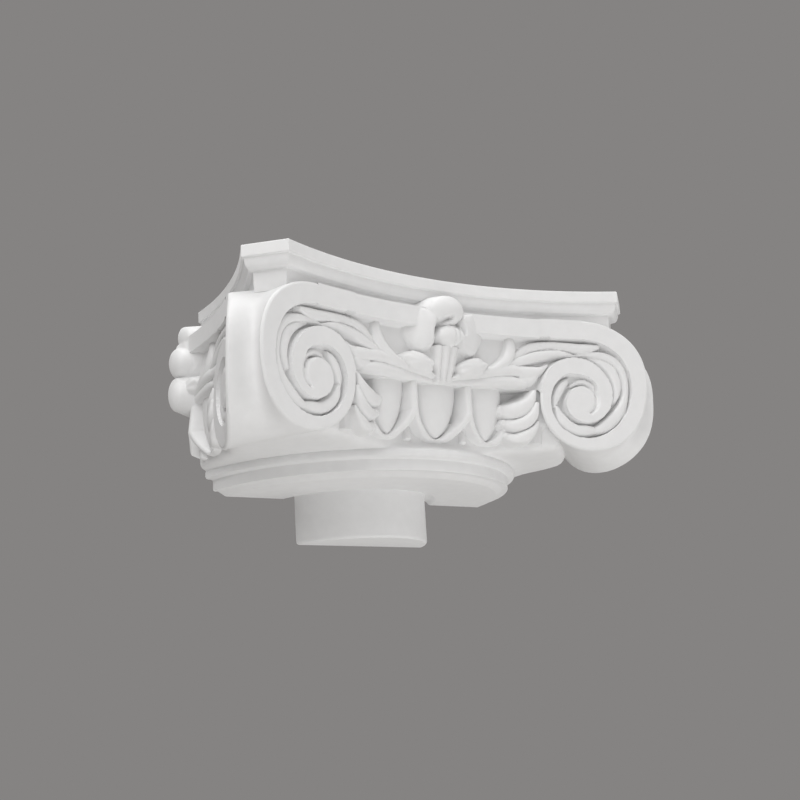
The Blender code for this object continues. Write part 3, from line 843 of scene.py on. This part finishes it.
core = {
    "rows": (  # height, how far behind the faces, largest radius
        (136, 20, 184), (126.2, 20, 184), (125.2, 12.6, 184), (100, 12.6, 184), (90, 32, 150), (28, 32, 150),
    ),
}


def makeCore():
    # fills the body behind the carving as far as the wall
    bm = bmesh.new()
    gap = wallGap["core"]
    loftRings(bm, [followFaces(height, 1, back, back, cap, gap) for height, back, cap in core["rows"]])
    finishPiece("core", bm, turnedSharp)


sides = {"left": -1, "right": 1}
makeAbacus()
makeNeck()
makeBell()
makeCore()
for tag, hand in sides.items():
    makeVolute("volute_" + tag, hand)
makeFrontSlab("frieze_front", slabs["friezeFront"], frontFrieze)
makeFrontSlab("echinus_front", slabs["echinusFront"], echinusLevel)
for tag, hand in sides.items():
    makeSideSlab("frieze_" + tag, slabs["friezeSide"], hand, wallGap["frieze"], sideFrieze)
    makeSideSlab("echinus_" + tag, slabs["echinusSide"], hand, wallGap["echinus"], sideEchinus)
print("pieces made")

# Camera at the photograph's place, in millimetres and radians
camera = {
    "place": (-549.4, -919.3, -177.4),
    "yaw": 0.57552,
    "pitch": 0.24118,
    "roll": -0.060763,
    "lens": 58.137,
    "sensor": 36,
}


def makeCamera():
    yaw, pitch, roll = camera["yaw"], camera["pitch"], camera["roll"]
    ahead = Vector((math.sin(yaw) * math.cos(pitch), math.cos(yaw) * math.cos(pitch), math.sin(pitch)))
    right = Vector((math.cos(yaw), -math.sin(yaw), 0))
    up = right.cross(ahead)
    turnedRight = math.cos(roll) * right + math.sin(roll) * up
    turnedUp = -math.sin(roll) * right + math.cos(roll) * up
    data = bpy.data.cameras.new("camera")
    data.lens = camera["lens"]
    data.sensor_width = camera["sensor"]
    made = bpy.data.objects.new("camera", data)
    turn = Matrix((turnedRight, turnedUp, -ahead)).transposed().to_4x4()
    made.matrix_world = Matrix.Translation(Vector(camera["place"]) * mm) @ turn
    bpy.context.scene.collection.objects.link(made)
    bpy.context.scene.camera = made


# The studio's sizes are in metres and its powers in watts
studio = {
    "aim": (0, -0.1, 0.06),    # every softbox faces this place
    "softboxes": {  # place, side, power
        "keyLight": ((-1.3, -1.0, 1.2), 1.6, 21),
        "topLight": ((-0.2, -0.4, 1.9), 1.4, 19),
        "rightLight": ((1.2, -1.0, 1.2), 1.6, 7),
        "lowLight": ((-0.3, -1.0, -0.95), 1.6, 9.5),
        "lowRightLight": ((1.2, -0.7, -0.9), 1.6, 8),
        "backLight": ((0.4, 1.6, 1.1), 1.2, 6),
    },
    "floorHalf": 9,
    "floorHeight": -2.6,
    "floorColour": "#f4f3f0",
    "floorRoughness": 0.9,
    "worldColour": "#858382",
}


def addSoftbox(name, place, side, power):
    data = bpy.data.lights.new(name, "AREA")
    data.size = side
    data.energy = power
    made = bpy.data.objects.new(name, data)
    made.location = place
    made.rotation_euler = (Vector(studio["aim"]) - Vector(place)).to_track_quat("-Z", "Y").to_euler()
    made.visible_camera = False
    bpy.context.scene.collection.objects.link(made)


def makeFloor():
    bm = bmesh.new()
    bmesh.ops.create_grid(bm, x_segments=1, y_segments=1, size=studio["floorHalf"])
    bmesh.ops.translate(bm, verts=bm.verts, vec=(0, 0, studio["floorHeight"]))
    mesh = bpy.data.meshes.new("floor")
    bm.to_mesh(mesh)
    bm.free()
    floor = bpy.data.objects.new("floor", mesh)
    bpy.context.scene.collection.objects.link(floor)
    paint = bpy.data.materials.new("floorPaint")    # plain pale paint
    paint.use_nodes = True
    shader = paint.node_tree.nodes["Principled BSDF"]
    shader.inputs["Base Color"].default_value = linearColour(studio["floorColour"])
    shader.inputs["Roughness"].default_value = studio["floorRoughness"]
    mesh.materials.append(paint)


def makeWorld():
    world = bpy.data.worlds.new("studio")
    world.use_nodes = True
    background = world.node_tree.nodes["Background"]
    background.inputs["Color"].default_value = linearColour(studio["worldColour"])
    background.inputs["Strength"].default_value = 1
    bpy.context.scene.world = world
    bpy.context.scene.view_settings.view_transform = "Standard"


makeCamera()
makeFloor()
makeWorld()
for name, (place, side, power) in studio["softboxes"].items():
    addSoftbox(name, place, side, power)
print("camera, floor and lights made")
